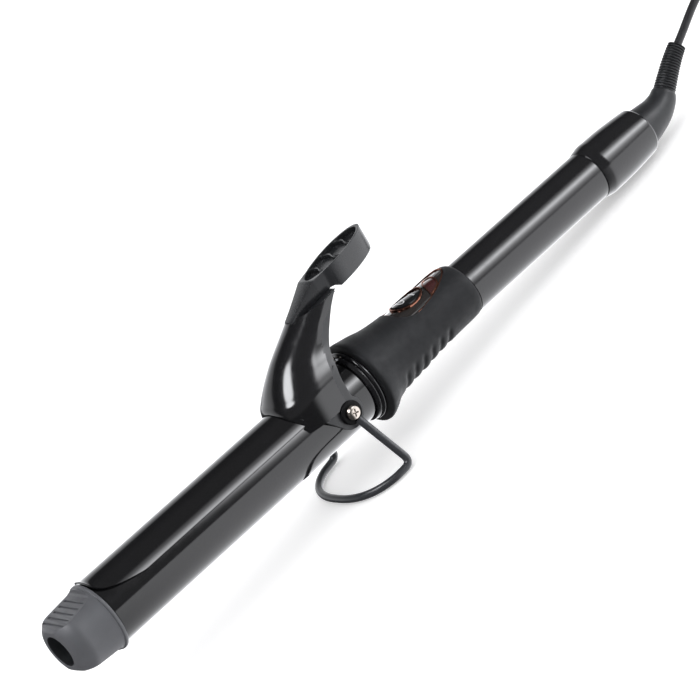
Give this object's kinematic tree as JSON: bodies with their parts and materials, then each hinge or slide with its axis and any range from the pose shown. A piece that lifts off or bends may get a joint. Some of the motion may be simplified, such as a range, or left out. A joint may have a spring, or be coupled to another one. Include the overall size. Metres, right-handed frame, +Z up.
{
  "type": "curling iron",
  "caption": "Corded hair curling iron with a heated barrel, sprung clamp, thumb lever, folding wire stand, power rocker and swivel cord.",
  "frame": {"origin": "on the surface the iron stands on, under the middle of its length without the cord", "axes": "+X from the cool tip towards the cord, +Z up, +Y to the left when looking along +X"},
  "size_m": [0.6355, 0.083, 0.0881],
  "materials": {
    "gloss_black": "gloss black enamel and moulding",
    "matte_black": "matte black",
    "rubber": "soft-touch matte",
    "grey_nylon": "heat-proof grey, satin",
    "steel": "bright plated steel",
    "aluminium": "mill finish",
    "brass": "plain",
    "copper": "rose-copper plating",
    "ceramic": "unglazed",
    "mica": "pressed sheet",
    "led_red": "clear dark red",
    "board": "laminate",
    "wire_red": "silicone insulation",
    "wire_blue": "silicone insulation",
    "cord_pvc": "satin flexible vinyl"
  },
  "bodies": {
    "iron": {"barrel_collar": "matte_black", "barrel_tube": "gloss_black", "brush_holder": "matte_black", "cool_tip": "grey_nylon", "cord_coil": "cord_pvc", "cord_tail": "cord_pvc", "cord_tie": "rubber", "cord_tube": "cord_pvc", "front_bezel": "gloss_black", "front_bulkhead": "steel", "front_heater_stone": "ceramic", "handle_tube": "gloss_black", "inner_brush": "brass", "leaf_spring": "steel", "led_board": "board", "led_frame": "copper", "led_lamp": "led_red", "led_lens": "led_red", "live_terminal": "brass", "live_wire": "wire_red", "lower_electrode": "brass", "lower_heat_spreader": "aluminium", "mica_heat_shield": "mica", "neutral_wire": "wire_blue", "outer_brush": "brass", "pivot_bracket": "steel", "pivot_screw_far": "steel", "pivot_screw_near": "steel", "plug_body": "cord_pvc", "plug_pin_far": "brass", "plug_pin_near": "brass", "rear_cap": "gloss_black", "rear_heater_stone": "ceramic", "rocker_trim": "copper", "rubber_grip": "rubber", "spring_screw": "steel", "spring_screw_nut": "steel", "switch_body": "matte_black", "switch_panel": "gloss_black", "switched_live_wire": "wire_red", "switched_terminal": "brass", "thermal_fuse": "steel", "tip_screw": "steel", "upper_electrode": "brass", "upper_heat_spreader": "aluminium", "window_trim": "copper"},
    "clamp": {"clamp_plate": "gloss_black", "clamp_lever": "gloss_black", "front_rivet": "aluminium", "rear_rivet": "aluminium", "thumb_pad": "matte_black", "thumb_pad_screw": "steel"},
    "stand": {"wire_stand": "matte_black"},
    "rocker": {"power_rocker": "gloss_black"},
    "cord_swivel": {"swivel_boot": "matte_black", "slip_ring_disc": "mica", "inner_slip_ring": "copper", "outer_slip_ring": "copper", "strain_relief": "rubber"}
  },
  "joints": [
    {"name": "clamp_hinge", "type": "hinge", "parent": "iron", "child": "clamp", "pos_m": [-0.04951, 0, 0.03535], "axis": [0, 1, 0], "range_deg": [0, 24], "stiffness_Nm_per_rad": 0.5, "springref_deg": -17.19, "deforming": ["leaf_spring"]},
    {"name": "stand_hinge", "type": "hinge", "parent": "iron", "child": "stand", "pos_m": [-0.04951, 0, 0.03535], "axis": [0, 1, 0], "range_deg": [-80, 33]},
    {"name": "rocker_hinge", "type": "hinge", "parent": "iron", "child": "rocker", "pos_m": [0.01631, 0, 0.04007], "axis": [0, -1, 0], "range_deg": [0, 8]},
    {"name": "cord_swivel_turn", "type": "hinge", "parent": "iron", "child": "cord_swivel", "pos_m": [0.17333, 0, 0.01253], "axis": [0.9948, 0, -0.1019], "continuous": true, "deforming": ["cord_tube"]}
  ]
}
